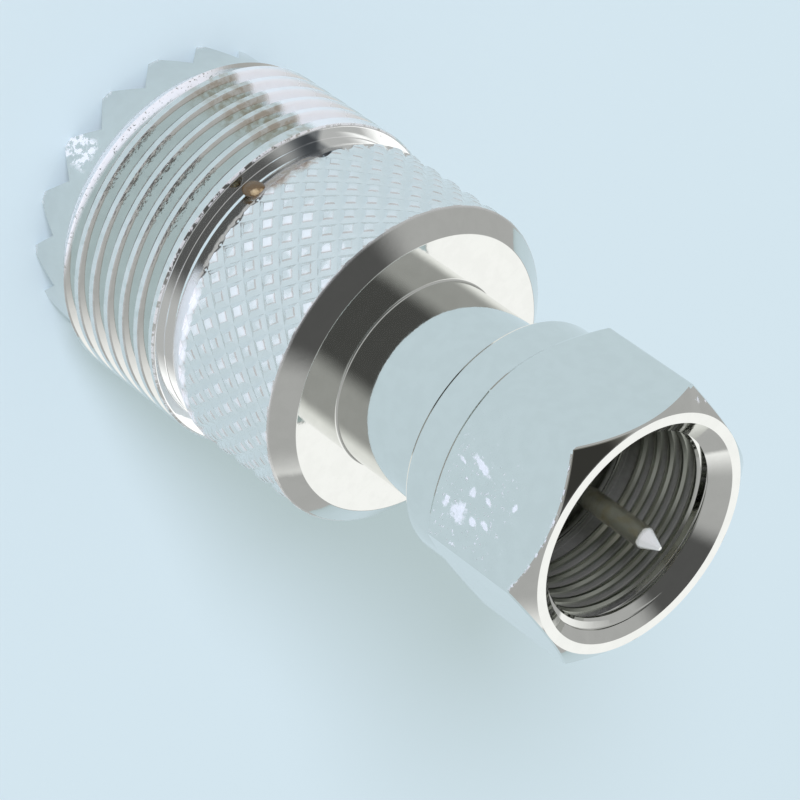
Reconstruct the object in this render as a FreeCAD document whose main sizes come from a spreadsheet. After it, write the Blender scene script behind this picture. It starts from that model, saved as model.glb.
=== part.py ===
import FreeCAD, Part
import Sketcher
import math
import os

doc = FreeCAD.newDocument("coax_adapter")
sheet = doc.addObject("Spreadsheet::Sheet", "Sheet")

# driving dimensions, millimetres and degrees
dimensions = [
    ("crownDiameter", 14.6),
    ("toothCount", 17),
    ("toothDepth", 1.2),
    ("toothTipWidth", 0.46),
    ("crownLength", 2.1),
    ("threadDiameter", 15.8),
    ("threadLead", 0.8),
    ("threadLength", 6.4),
    ("threadRunOut", 0.1),
    ("reliefDiameter", 14.5),
    ("reliefLength", 0.6),
    ("collarDiameter", 15.34),
    ("collarRearChamfer", 0.95),
    ("collarLength", 5.9),
    ("collarFrontChamfer", 0.85),
    ("collarFaceDiameter", 13.4),
    ("neckDiameter", 9.0),
    ("neckRootBevel", 0.1),
    ("neckLength", 8.4),
    ("neckEdge", 0.25),
    ("neckBoreDiameter", 6.0),
    ("neckBoreDepth", 10.8),
    ("webHoleDiameter", 4.6),
    ("socketDiameter", 12.8),
    ("socketDepth", 13.2),
    ("socketMouthChamfer", 0.25),
    ("jackInsulatorThickness", 4.6),
    ("jackBossDiameter", 8.0),
    ("jackBossHeight", 1.0),
    ("jackBossBevel", 0.3),
    ("contactDiameter", 5.6),
    ("contactBoreDiameter", 4.0),
    ("contactSetback", 1.0),
    ("contactBoreDepth", 5.6),
    ("contactDrillPoint", 1.0),
    ("contactLip", 0.35),
    ("contactSlotWidth", 0.5),
    ("contactSlotDepth", 5.0),
    ("contactShankDiameter", 3.4),
    ("contactTailDiameter", 2.4),
    ("contactTailLength", 1.2),
    ("pinDiameter", 1.0),
    ("pinShankDiameter", 1.6),
    ("pinReach", 6.8),
    ("pinPointLength", 0.9),
    ("pinPointFlat", 0.2),
    ("pinSocketDepth", 2.4),
    ("frontInsulatorSetback", 0.4),
    ("ringThickness", 0.6),
    ("ringGrooveDepth", 0.7),
    ("ringWidth", 1.0),
    ("ringGap", 40),
    ("ringSetback", 1.1),
    ("ringPlay", 0.12),
    ("nutAcrossFlats", 11.4),
    ("nutCornerDiameter", 13.1),
    ("nutRearGap", 5.6),
    ("nutCollarDiameter", 11.24),
    ("nutCollarLength", 2.0),
    ("nutRearRadius", 0.4),
    ("nutRearChamfer", 0.64),
    ("nutHexLength", 5.05),
    ("nutFrontChamfer", 0.73),
    ("nutFaceDiameter", 11.3),
    ("nutThreadMinor", 8.76),
    ("nutThreadMajor", 9.6),
    ("nutThreadRelief", 0.7),
    ("nutMouthDiameter", 10.36),
    ("nutMouthDepth", 0.72),
    ("runningClearance", 0.08),
    ("slipClearance", 0.03),
    ("cutOverrun", 1.0),
]
for row, (alias, value) in enumerate(dimensions, 1):
    sheet.set("A%d" % row, alias)
    sheet.set("B%d" % row, str(value))
    sheet.setAlias("B%d" % row, alias)
doc.recompute()

# stations along the axis, each from the mouth of the toothed end, and the size of the ring's hole
stations = [
    ("threadStart", "=crownLength + threadLead"),
    ("threadEnd", "=threadStart + threadLength"),
    ("reliefEnd", "=threadEnd + reliefLength"),
    ("collarStart", "=reliefEnd + collarRearChamfer"),
    ("collarEnd", "=collarStart + collarLength"),
    ("faceHeight", "=collarEnd + collarFrontChamfer"),
    ("neckEnd", "=faceHeight + neckLength"),
    ("neckBoreFloor", "=neckEnd - neckBoreDepth"),
    ("insulatorFloor", "=socketDepth - jackInsulatorThickness"),
    ("bossTop", "=insulatorFloor - jackBossHeight"),
    ("ringFront", "=neckEnd - ringSetback"),
    ("ringRear", "=ringFront - ringThickness"),
    ("ringInnerDiameter", "=neckDiameter - 2 * ringGrooveDepth"),
    ("nutRear", "=faceHeight + nutRearGap"),
    ("nutCollarEnd", "=nutRear + nutCollarLength"),
    ("nutHexStart", "=nutCollarEnd + nutRearChamfer"),
    ("nutHexEnd", "=nutHexStart + nutHexLength"),
    ("nutFront", "=nutHexEnd + nutFrontChamfer"),
    ("pinTip", "=neckEnd + pinReach"),
    ("insulatorFace", "=neckEnd - frontInsulatorSetback"),
    ("pinRoot", "=socketDepth + contactTailLength - pinSocketDepth"),
]
firstRow = len(dimensions) + 2
for row, (alias, formula) in enumerate(stations, firstRow):
    sheet.set("A%d" % row, alias)
    sheet.set("B%d" % row, formula)
    sheet.setAlias("B%d" % row, alias)
    doc.recompute()


def value(expression):
    return float(sheet.evalExpression(expression.replace("Sheet.", "")))


def newBody(name):
    body = doc.addObject("PartDesign::Body", name)
    body.Label = name
    return body


def originFeature(body, role):
    for feature in body.Origin.OriginFeatures:
        if feature.Role == role:
            return feature


def outline(body, name, plane, corners):
    sketch = body.newObject("Sketcher::SketchObject", name)
    sketch.AttachmentSupport = [(originFeature(body, plane), "")]
    sketch.MapMode = "FlatFace"
    points = [FreeCAD.Vector(value(x), value(y), 0) for x, y in corners]
    count = len(points)
    for i in range(count):
        sketch.addGeometry(Part.LineSegment(points[i], points[(i + 1) % count]), False)
    for i in range(count):
        sketch.addConstraint(Sketcher.Constraint("Coincident", i, 2, (i + 1) % count, 1))
    for i, (x, y) in enumerate(corners):
        for kind, axis, text, size in (("DistanceX", -2, x, points[i].x), ("DistanceY", -1, y, points[i].y)):
            if text == "0":
                sketch.addConstraint(Sketcher.Constraint("PointOnObject", i, 1, axis))
            else:
                index = sketch.addConstraint(Sketcher.Constraint(kind, -1, 1, i, 1, size))
                sketch.setExpression("Constraints[%d]" % index, text)
    sketch.Visibility = False
    return sketch


def turned(body, name, corners):
    sketch = outline(body, name + "_section", "XZ_Plane", corners)
    feature = body.newObject("PartDesign::Revolution", name)
    feature.Profile = sketch
    feature.ReferenceAxis = (sketch, ["V_Axis"])
    feature.Angle = 360
    doc.recompute()
    return feature


def turnedCut(body, name, corners):
    sketch = outline(body, name + "_section", "XZ_Plane", corners)
    feature = body.newObject("PartDesign::Groove", name)
    feature.Profile = sketch
    feature.ReferenceAxis = (sketch, ["V_Axis"])
    feature.Angle = 360
    doc.recompute()
    return feature


def ringEdges(feature, diameter, height):
    radius = value(diameter) / 2
    level = value(height)
    names = []
    for i, edge in enumerate(feature.Shape.Edges, 1):
        curve = edge.Curve
        if isinstance(curve, Part.Circle) and abs(curve.Radius - radius) < 0.001:
            if abs(curve.Center.z - level) < 0.001:
                names.append("Edge%d" % i)
    return names


def rounded(body, name, base, diameter, height, radius):
    feature = body.newObject("PartDesign::Fillet", name)
    feature.Base = (base, ringEdges(base, diameter, height))
    feature.Radius = value(radius)
    feature.setExpression("Radius", radius)
    doc.recompute()
    return feature


# jack body: toothed mouth, thread blank, relief, knurl blank, mirror face and neck in one turning
jack = newBody("jack_body")
turned(jack, "jack_turning", [
    ("Sheet.socketDiameter / 2 + Sheet.socketMouthChamfer", "0"),
    ("Sheet.crownDiameter / 2", "0"),
    ("Sheet.crownDiameter / 2", "Sheet.crownLength"),
    ("Sheet.threadDiameter / 2", "Sheet.threadStart"),
    ("Sheet.threadDiameter / 2", "Sheet.threadEnd - Sheet.threadRunOut"),
    ("Sheet.reliefDiameter / 2", "Sheet.threadEnd"),
    ("Sheet.reliefDiameter / 2", "Sheet.reliefEnd"),
    ("Sheet.collarDiameter / 2", "Sheet.collarStart"),
    ("Sheet.collarDiameter / 2", "Sheet.collarEnd"),
    ("Sheet.collarFaceDiameter / 2", "Sheet.faceHeight"),
    ("Sheet.neckDiameter / 2 + Sheet.neckRootBevel", "Sheet.faceHeight"),
    ("Sheet.neckDiameter / 2", "Sheet.faceHeight + Sheet.neckRootBevel"),
    ("Sheet.neckDiameter / 2", "Sheet.ringRear - Sheet.slipClearance"),
    ("Sheet.ringInnerDiameter / 2 - Sheet.slipClearance", "Sheet.ringRear - Sheet.slipClearance"),
    ("Sheet.ringInnerDiameter / 2 - Sheet.slipClearance", "Sheet.ringFront + Sheet.slipClearance"),
    ("Sheet.neckDiameter / 2", "Sheet.ringFront + Sheet.slipClearance"),
    ("Sheet.neckDiameter / 2", "Sheet.neckEnd - Sheet.neckEdge"),
    ("Sheet.neckDiameter / 2 - Sheet.neckEdge", "Sheet.neckEnd"),
    ("Sheet.neckBoreDiameter / 2", "Sheet.neckEnd"),
    ("Sheet.neckBoreDiameter / 2", "Sheet.neckBoreFloor"),
    ("Sheet.webHoleDiameter / 2", "Sheet.neckBoreFloor"),
    ("Sheet.webHoleDiameter / 2", "Sheet.socketDepth"),
    ("Sheet.socketDiameter / 2", "Sheet.socketDepth"),
    ("Sheet.socketDiameter / 2", "Sheet.socketMouthChamfer"),
])
notchHalf = "(pi * Sheet.crownDiameter / Sheet.toothCount - Sheet.toothTipWidth) / 2"
notchSketch = outline(jack, "notch_outline", "YZ_Plane", [
    ("-" + notchHalf, "0"),
    (notchHalf, "0"),
    ("0", "Sheet.toothDepth"),
])
notch = jack.newObject("PartDesign::Pocket", "notch")
notch.Profile = notchSketch
notch.Type = "ThroughAll"
notch.Reversed = True
doc.recompute()
crown = jack.newObject("PartDesign::PolarPattern", "crown_notches")
crown.Originals = [notch]
crown.Axis = (originFeature(jack, "Z_Axis"), [""])
crown.Angle = 360
crown.Occurrences = int(value("Sheet.toothCount"))
crown.setExpression("Occurrences", "Sheet.toothCount")
jack.Tip = crown
doc.recompute()

# insulator at the foot of the socket
jackInsulator = newBody("jack_insulator")
turned(jackInsulator, "jack_insulator_turning", [
    ("Sheet.contactShankDiameter / 2 + Sheet.slipClearance", "Sheet.bossTop"),
    ("Sheet.jackBossDiameter / 2 - Sheet.jackBossBevel", "Sheet.bossTop"),
    ("Sheet.jackBossDiameter / 2", "Sheet.bossTop + Sheet.jackBossBevel"),
    ("Sheet.jackBossDiameter / 2", "Sheet.insulatorFloor"),
    ("Sheet.socketDiameter / 2", "Sheet.insulatorFloor"),
    ("Sheet.socketDiameter / 2", "Sheet.socketDepth"),
    ("Sheet.contactShankDiameter / 2 + Sheet.slipClearance", "Sheet.socketDepth"),
])

# slotted centre contact of the socket, drilled behind for the pin
contact = newBody("jack_contact")
turned(contact, "contact_turning", [
    ("Sheet.contactBoreDiameter / 2 + Sheet.contactLip", "Sheet.contactSetback"),
    ("Sheet.contactDiameter / 2 - Sheet.contactLip", "Sheet.contactSetback"),
    ("Sheet.contactDiameter / 2", "Sheet.contactSetback + Sheet.contactLip"),
    ("Sheet.contactDiameter / 2", "Sheet.bossTop"),
    ("Sheet.contactShankDiameter / 2", "Sheet.bossTop"),
    ("Sheet.contactShankDiameter / 2", "Sheet.socketDepth"),
    ("Sheet.contactTailDiameter / 2", "Sheet.socketDepth"),
    ("Sheet.contactTailDiameter / 2", "Sheet.socketDepth + Sheet.contactTailLength"),
    ("Sheet.pinShankDiameter / 2 + Sheet.slipClearance", "Sheet.socketDepth + Sheet.contactTailLength"),
    ("Sheet.pinShankDiameter / 2 + Sheet.slipClearance", "Sheet.pinRoot"),
    ("0", "Sheet.pinRoot"),
    ("0", "Sheet.contactSetback + Sheet.contactBoreDepth + Sheet.contactDrillPoint"),
    ("Sheet.contactBoreDiameter / 2", "Sheet.contactSetback + Sheet.contactBoreDepth"),
    ("Sheet.contactBoreDiameter / 2", "Sheet.contactSetback + Sheet.contactLip"),
])
slotSketch = outline(contact, "slot_outline", "XZ_Plane", [
    ("-Sheet.contactSlotWidth / 2", "0"),
    ("Sheet.contactSlotWidth / 2", "0"),
    ("Sheet.contactSlotWidth / 2", "Sheet.contactSetback + Sheet.contactSlotDepth"),
    ("-Sheet.contactSlotWidth / 2", "Sheet.contactSetback + Sheet.contactSlotDepth"),
])
slot = contact.newObject("PartDesign::Pocket", "slot")
slot.Profile = slotSketch
slot.Type = "ThroughAll"
slot.SideType = "Symmetric"
doc.recompute()
slots = contact.newObject("PartDesign::PolarPattern", "slots")
slots.Originals = [slot]
slots.Axis = (originFeature(contact, "Z_Axis"), [""])
slots.Angle = 90
slots.Occurrences = 2
contact.Tip = slots
doc.recompute()

# insulator in the neck
frontInsulator = newBody("front_insulator")
turned(frontInsulator, "front_insulator_turning", [
    ("Sheet.pinShankDiameter / 2 + Sheet.slipClearance", "Sheet.neckBoreFloor"),
    ("Sheet.neckBoreDiameter / 2", "Sheet.neckBoreFloor"),
    ("Sheet.neckBoreDiameter / 2", "Sheet.insulatorFace"),
    ("Sheet.pinShankDiameter / 2 + Sheet.slipClearance", "Sheet.insulatorFace"),
])

# centre pin: a stout shank up to the face of the insulator, then the thin pin with its cone point
pin = newBody("centre_pin")
turned(pin, "pin_turning", [
    ("0", "Sheet.pinRoot"),
    ("Sheet.pinShankDiameter / 2", "Sheet.pinRoot"),
    ("Sheet.pinShankDiameter / 2", "Sheet.insulatorFace"),
    ("Sheet.pinDiameter / 2", "Sheet.insulatorFace"),
    ("Sheet.pinDiameter / 2", "Sheet.pinTip - Sheet.pinPointLength"),
    ("Sheet.pinPointFlat / 2", "Sheet.pinTip"),
    ("0", "Sheet.pinTip"),
])

# open ring that holds the nut on the neck
ring = newBody("retaining_ring")
ringSketch = outline(ring, "ring_section", "XZ_Plane", [
    ("Sheet.ringInnerDiameter / 2", "Sheet.ringRear"),
    ("Sheet.ringInnerDiameter / 2 + Sheet.ringWidth", "Sheet.ringRear"),
    ("Sheet.ringInnerDiameter / 2 + Sheet.ringWidth", "Sheet.ringFront"),
    ("Sheet.ringInnerDiameter / 2", "Sheet.ringFront"),
])
ringTurning = ring.newObject("PartDesign::Revolution", "ring_turning")
ringTurning.Profile = ringSketch
ringTurning.ReferenceAxis = (ringSketch, ["V_Axis"])
ringTurning.Angle = 360 - value("Sheet.ringGap")
ringTurning.setExpression("Angle", "360 - Sheet.ringGap")
doc.recompute()

# coupling nut: turned blank, six flats, then the stepped bore
nut = newBody("coupling_nut")
nutTurning = turned(nut, "nut_turning", [
    ("0", "Sheet.nutRear"),
    ("Sheet.nutCollarDiameter / 2", "Sheet.nutRear"),
    ("Sheet.nutCollarDiameter / 2", "Sheet.nutCollarEnd"),
    ("Sheet.nutCornerDiameter / 2", "Sheet.nutHexStart"),
    ("Sheet.nutCornerDiameter / 2", "Sheet.nutHexEnd"),
    ("Sheet.nutFaceDiameter / 2", "Sheet.nutFront"),
    ("0", "Sheet.nutFront"),
])
rounded(nut, "nut_rear_edge", nutTurning, "Sheet.nutCollarDiameter", "Sheet.nutRear", "Sheet.nutRearRadius")

# flats: everything outside the hexagon goes
flatsSketch = nut.newObject("Sketcher::SketchObject", "flats_outline")
flatsSketch.AttachmentSupport = [(originFeature(nut, "XY_Plane"), "")]
flatsSketch.MapMode = "FlatFace"
hexCorner = value("Sheet.nutAcrossFlats") / math.sqrt(3)
hexPoints = []
for i in range(6):
    turn = math.radians(90 + 60 * i)
    hexPoints.append(FreeCAD.Vector(hexCorner * math.cos(turn), hexCorner * math.sin(turn), 0))
for i in range(6):
    flatsSketch.addGeometry(Part.LineSegment(hexPoints[i], hexPoints[(i + 1) % 6]), False)
centre = FreeCAD.Vector(0, 0, 0)
upward = FreeCAD.Vector(0, 0, 1)
flatsSketch.addGeometry(Part.Circle(centre, upward, hexCorner), True)
flatsSketch.addGeometry(Part.Circle(centre, upward, 2 * hexCorner), False)
for i in range(6):
    flatsSketch.addConstraint(Sketcher.Constraint("Coincident", i, 2, (i + 1) % 6, 1))
    flatsSketch.addConstraint(Sketcher.Constraint("PointOnObject", i, 1, 6))
for i in range(1, 6):
    flatsSketch.addConstraint(Sketcher.Constraint("Equal", 0, i))
flatsSketch.addConstraint(Sketcher.Constraint("Coincident", 6, 3, -1, 1))
flatsSketch.addConstraint(Sketcher.Constraint("Coincident", 7, 3, -1, 1))
flatsSketch.addConstraint(Sketcher.Constraint("PointOnObject", 0, 1, -2))
cornerSize = flatsSketch.addConstraint(Sketcher.Constraint("Diameter", 6, 2 * hexCorner))
flatsSketch.setExpression("Constraints[%d]" % cornerSize, "2 * Sheet.nutAcrossFlats / sqrt(3)")
outerSize = flatsSketch.addConstraint(Sketcher.Constraint("Diameter", 7, 4 * hexCorner))
flatsSketch.setExpression("Constraints[%d]" % outerSize, "4 * Sheet.nutAcrossFlats / sqrt(3)")
flatsSketch.Visibility = False
flats = nut.newObject("PartDesign::Pocket", "flats")
flats.Profile = flatsSketch
flats.Type = "ThroughAll"
flats.Reversed = True
doc.recompute()
turnedCut(nut, "nut_bore", [
    ("0", "Sheet.nutRear - Sheet.cutOverrun"),
    ("Sheet.neckDiameter / 2 + Sheet.runningClearance", "Sheet.nutRear - Sheet.cutOverrun"),
    ("Sheet.neckDiameter / 2 + Sheet.runningClearance", "Sheet.ringRear - Sheet.ringPlay"),
    ("Sheet.ringInnerDiameter / 2 + Sheet.ringWidth + Sheet.ringPlay", "Sheet.ringRear - Sheet.ringPlay"),
    ("Sheet.ringInnerDiameter / 2 + Sheet.ringWidth + Sheet.ringPlay", "Sheet.ringFront + Sheet.ringPlay"),
    ("Sheet.neckDiameter / 2 + Sheet.runningClearance", "Sheet.ringFront + Sheet.ringPlay"),
    ("Sheet.neckDiameter / 2 + Sheet.runningClearance", "Sheet.neckEnd"),
    ("Sheet.nutThreadMajor / 2", "Sheet.neckEnd"),
    ("Sheet.nutThreadMajor / 2", "Sheet.neckEnd + Sheet.nutThreadRelief"),
    ("Sheet.nutThreadMinor / 2", "Sheet.neckEnd + Sheet.nutThreadRelief"),
    ("Sheet.nutThreadMinor / 2", "Sheet.nutFront - Sheet.nutMouthDepth"),
    ("Sheet.nutMouthDiameter / 2", "Sheet.nutFront"),
    ("Sheet.nutMouthDiameter / 2", "Sheet.nutFront + Sheet.cutOverrun"),
    ("0", "Sheet.nutFront + Sheet.cutOverrun"),
])

doc.recompute()
bodies = [jack, jackInsulator, contact, frontInsulator, pin, ring, nut]
for item in doc.Objects:
    if "Invalid" in item.State or "Error" in item.State:
        raise RuntimeError("not built: " + item.Name)
os.makedirs("parts", exist_ok=True)
for body in bodies:
    if body.Shape.isNull() or not body.Shape.isValid():
        raise RuntimeError("bad solid: " + body.Label)
    body.Shape.exportStep("parts/" + body.Label + ".step")
    print(body.Label, len(body.Shape.Solids), round(body.Shape.Volume, 3))
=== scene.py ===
import bpy
import math
from mathutils import Matrix, Vector


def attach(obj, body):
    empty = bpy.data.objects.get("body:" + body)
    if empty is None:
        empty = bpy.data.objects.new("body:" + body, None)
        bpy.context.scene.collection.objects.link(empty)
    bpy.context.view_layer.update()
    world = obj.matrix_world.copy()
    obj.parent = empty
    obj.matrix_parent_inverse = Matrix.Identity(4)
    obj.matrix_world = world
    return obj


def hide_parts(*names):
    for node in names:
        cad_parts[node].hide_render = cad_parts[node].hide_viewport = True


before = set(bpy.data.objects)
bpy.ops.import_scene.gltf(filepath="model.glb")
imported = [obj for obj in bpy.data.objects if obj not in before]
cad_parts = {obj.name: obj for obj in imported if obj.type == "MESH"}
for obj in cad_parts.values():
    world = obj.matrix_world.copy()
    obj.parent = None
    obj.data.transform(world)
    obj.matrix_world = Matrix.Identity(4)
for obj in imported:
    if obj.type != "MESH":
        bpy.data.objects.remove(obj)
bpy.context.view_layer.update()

# The adapter stands on its toothed mouth, its axis on Z. Pieces are modelled in millimetres
# and taken down to metres when they are finished.
millimetre = 0.001
fullTurn = 2 * math.pi
weld = 0.0001
sliver = 0.0002


# Selecting, and the small steps that every piece is made with

def only(*pieces):
    bpy.ops.object.select_all(action="DESELECT")
    for piece in pieces:
        piece.select_set(True)
    bpy.context.view_layer.objects.active = pieces[-1]


def editing(piece, chooser=None):
    # edit mode, with all vertices selected or those that the chooser says yes to
    only(piece)
    bpy.ops.object.mode_set(mode="EDIT")
    bpy.context.tool_settings.mesh_select_mode = (True, False, False)
    bpy.ops.mesh.select_all(action="DESELECT")
    bpy.ops.object.mode_set(mode="OBJECT")
    for vertex in piece.data.vertices:
        vertex.select = chooser is None or chooser(vertex)
    bpy.ops.object.mode_set(mode="EDIT")


def done():
    bpy.ops.object.mode_set(mode="OBJECT")


def added(name, operator, **settings):
    bpy.ops.object.select_all(action="DESELECT")
    operator(**settings)
    piece = bpy.context.object
    piece.name = name
    piece.data.name = name
    return piece


def applied(piece, kind, **settings):
    modifier = piece.modifiers.new(kind.lower(), kind)
    for name, setting in settings.items():
        setattr(modifier, name, setting)
    only(piece)
    bpy.ops.object.modifier_apply(modifier=modifier.name)


def drawnLine(name, points):
    # one vertex, drawn out from point to point in the XZ plane, and closed where it comes back to its start
    piece = added(name, bpy.ops.mesh.primitive_plane_add, size=1)
    editing(piece)
    bpy.ops.mesh.merge(type="CENTER")
    bpy.ops.transform.translate(value=(points[0][0], 0, points[0][1]))
    for (x0, z0), (x1, z1) in zip(points, points[1:]):
        bpy.ops.mesh.extrude_vertices_move(TRANSFORM_OT_translate={"value": (x1 - x0, 0, z1 - z0)})
    bpy.ops.mesh.select_all(action="SELECT")
    bpy.ops.mesh.remove_doubles(threshold=weld)
    done()
    return piece


def tidied(piece):
    editing(piece)
    bpy.ops.mesh.remove_doubles(threshold=weld)
    bpy.ops.mesh.normals_make_consistent(inside=False)
    done()


def lathe(name, section, corner=0.0, steps=192):
    # a section closed on itself, or ending on the axis at both ends, turned round the axis
    onAxis = section[0][0] == 0
    piece = drawnLine(name, section if onAxis else section + section[:1])
    if corner:
        editing(piece, lambda vertex: vertex.co.x > weld)
        bpy.ops.mesh.bevel(offset=corner, segments=2, affect="VERTICES")
        done()
    editing(piece)
    bpy.ops.mesh.spin(steps=steps, angle=fullTurn, center=(0, 0, 0), axis=(0, 0, 1))
    done()
    tidied(piece)
    return piece


def threadTool(name, section, pitch, turns, start, startAngle=0, steps=192):
    # a closed section wound up the axis as a right-hand screw, its two ends filled
    piece = drawnLine(name, section)
    editing(piece)
    bpy.ops.mesh.edge_face_add()
    bpy.ops.mesh.delete(type="ONLY_FACE")
    done()
    for vertex in piece.data.vertices:
        vertex.co.z += start
    applied(piece, "SCREW", axis="Z", screw_offset=pitch, iterations=turns, steps=steps, render_steps=steps,
            use_merge_vertices=False, use_smooth_shade=False)
    count, last = len(section), len(piece.data.vertices)
    for ends in (range(count), range(last - count, last)):
        editing(piece, lambda vertex: vertex.index in ends)
        bpy.ops.mesh.edge_face_add()
        done()
    editing(piece)
    bpy.ops.mesh.normals_make_consistent(inside=False)
    done()
    piece.data.transform(Matrix.Rotation(math.radians(startAngle), 4, "Z"))
    return piece


def combine(piece, other, operation):
    applied(piece, "BOOLEAN", operation=operation, solver="MANIFOLD", object=other)
    bpy.data.objects.remove(other)


def finished(piece, body, slot, *nodes, angle=32):
    # cleans the cuts, smooths up to the given angle and takes the piece down to metres
    editing(piece)
    bpy.ops.mesh.dissolve_degenerate(threshold=sliver)
    done()
    only(piece)
    bpy.ops.object.shade_smooth_by_angle(angle=math.radians(angle))
    applied(piece, "WEIGHTED_NORMAL", mode="FACE_AREA", weight=90, keep_sharp=True)
    piece.scale = (millimetre,) * 3
    bpy.ops.object.transform_apply(location=True, rotation=True, scale=True)
    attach(piece, body)
    if nodes:
        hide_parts(*nodes)
    print("made", piece.name, len(piece.data.polygons), "faces")


# Jack body: toothed crown, 24 per inch thread, knurled collar, mirror face and neck in one turning

jack = {
    "crownRadius": 7.3, "crownLength": 2.1,
    "socketRadius": 6.4, "socketDepth": 13.2, "mouthBevel": 0.25,
    "toothCount": 17, "toothDepth": 1.2, "toothTip": 0.46, "notchBelow": 0.4, "notchFrom": 6, "notchReach": 2,
    "threadRadius": 7.9, "threadPitch": 25.4 / 24, "threadFrom": 2.9, "threadTo": 9.3, "threadEnd": 0.12,
    "threadRoot": 7.36, "threadTurns": 7, "rootFlat": 0.07, "crestRound": 0.06,
    "grooveStart": 1.576, "grooveAngle": 100,
    "reliefRadius": 7.25, "reliefTo": 9.9,
    "collarRadius": 7.67, "collarFrom": 10.85, "collarTo": 16.75,
    "faceRadius": 6.7, "faceHeight": 17.6,
    "neckRadius": 4.5, "neckRoot": 0.07, "neckTo": 26.0, "neckEdge": 0.25,
    "grooveFrom": 24.27, "grooveTo": 24.93, "grooveRadius": 3.77,
    "boreRadius": 3.0, "boreFloor": 15.2, "webRadius": 2.3,
    "corner": 0.035,
}
knurl = {
    "around": 38, "rows": 8, "height": 1.287, "depth": 0.15, "flank": 0.16, "rootFlat": 0.05, "edge": 0.08,
    "edgeDepth": 0.045, "sag": 0.4, "cuts": 3, "padAngle": -119.1, "padPlace": 13.45,
    "cutFrom": 10.74, "cutTo": 16.77, "outside": 1.12, "clearance": 0.03,
}
underKnurl = jack["collarRadius"] - knurl["depth"] - knurl["clearance"]


def alongChamfer(low, high, radius):
    # the point of a chamfer between two corners that has the given radius
    share = (radius - low[0]) / (high[0] - low[0])
    return (radius, low[1] + share * (high[1] - low[1]))


rearChamfer = ((jack["reliefRadius"], jack["reliefTo"]), (jack["collarRadius"], jack["collarFrom"]))
frontChamfer = ((jack["collarRadius"], jack["collarTo"]), (jack["faceRadius"], jack["faceHeight"]))
jackSection = [
    (jack["socketRadius"] + jack["mouthBevel"], 0),
    (jack["crownRadius"], 0),
    (jack["crownRadius"], jack["crownLength"]),
    (jack["threadRadius"], jack["threadFrom"]),
    (jack["threadRadius"], jack["threadTo"] - jack["threadEnd"]),
    (jack["threadRadius"] - jack["threadEnd"], jack["threadTo"]),
    (jack["reliefRadius"], jack["threadTo"]),
    rearChamfer[0],
    alongChamfer(*rearChamfer, underKnurl),
    rearChamfer[1],
    frontChamfer[0],
    alongChamfer(*frontChamfer, underKnurl),
    frontChamfer[1],
    (jack["neckRadius"] + jack["neckRoot"], jack["faceHeight"]),
    (jack["neckRadius"], jack["faceHeight"] + jack["neckRoot"]),
    (jack["neckRadius"], jack["grooveFrom"]),
    (jack["grooveRadius"], jack["grooveFrom"]),
    (jack["grooveRadius"], jack["grooveTo"]),
    (jack["neckRadius"], jack["grooveTo"]),
    (jack["neckRadius"], jack["neckTo"] - jack["neckEdge"]),
    (jack["neckRadius"] - jack["neckEdge"], jack["neckTo"]),
    (jack["boreRadius"], jack["neckTo"]),
    (jack["boreRadius"], jack["boreFloor"]),
    (jack["webRadius"], jack["boreFloor"]),
    (jack["webRadius"], jack["socketDepth"]),
    (jack["socketRadius"], jack["socketDepth"]),
    (jack["socketRadius"], jack["mouthBevel"]),
]
jackBody = lathe("jackBody", jackSection, corner=jack["corner"])

# both threads are grooves, cut by a V tool that is wound up the axis
groove = {"slope": math.tan(math.radians(30)), "noseRise": 0.03, "noseSpread": 0.04, "easeSpread": 1.4, "past": 0.12}


def grooveSection(root, crest, flat, ease):
    # a 60 degree V from root to crest with a narrow nose, eased where it meets the crest, and open past it
    outward = math.copysign(1, crest - root)
    flank = flat / 2 + (abs(crest - root) - ease) * groove["slope"]
    mouth = flank + ease * groove["easeSpread"]
    half = [
        (root, flat / 2),
        (root + outward * groove["noseRise"], flat / 2 + groove["noseSpread"]),
        (crest - outward * ease, flank),
        (crest, mouth),
        (crest + outward * groove["past"], mouth),
    ]
    return [(radius, -wide) for radius, wide in reversed(half)] + half


threadGroove = threadTool("threadGroove",
                          grooveSection(jack["threadRoot"], jack["threadRadius"], jack["rootFlat"], jack["crestRound"]),
                          jack["threadPitch"], jack["threadTurns"], jack["grooveStart"], jack["grooveAngle"])
combine(jackBody, threadGroove, "DIFFERENCE")

# crown: one wedge, copied round the rim, cuts the notches between the teeth
notchHalf = (fullTurn * jack["crownRadius"] / jack["toothCount"] - jack["toothTip"]) / 2
notchFoot = notchHalf * (1 + jack["notchBelow"] / jack["toothDepth"])
notchCorner = (-notchFoot, -jack["notchBelow"])
notch = drawnLine("notch", [notchCorner, (notchFoot, -jack["notchBelow"]), (0, jack["toothDepth"]), notchCorner])
editing(notch)
bpy.ops.mesh.edge_face_add()
bpy.ops.transform.translate(value=(0, jack["notchFrom"], 0))
bpy.ops.mesh.extrude_region_move(TRANSFORM_OT_translate={"value": (0, jack["notchReach"], 0)})
done()
notches = []
for turn in range(jack["toothCount"]):
    copy = notch.copy()
    copy.data = notch.data.copy()
    copy.data.transform(Matrix.Rotation(turn * fullTurn / jack["toothCount"] - math.radians(90), 4, "Z"))
    bpy.context.collection.objects.link(copy)
    notches.append(copy)
bpy.data.objects.remove(notch)
only(*notches)
bpy.ops.object.join()
tidied(notches[-1])
combine(jackBody, notches[-1], "DIFFERENCE")

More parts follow.
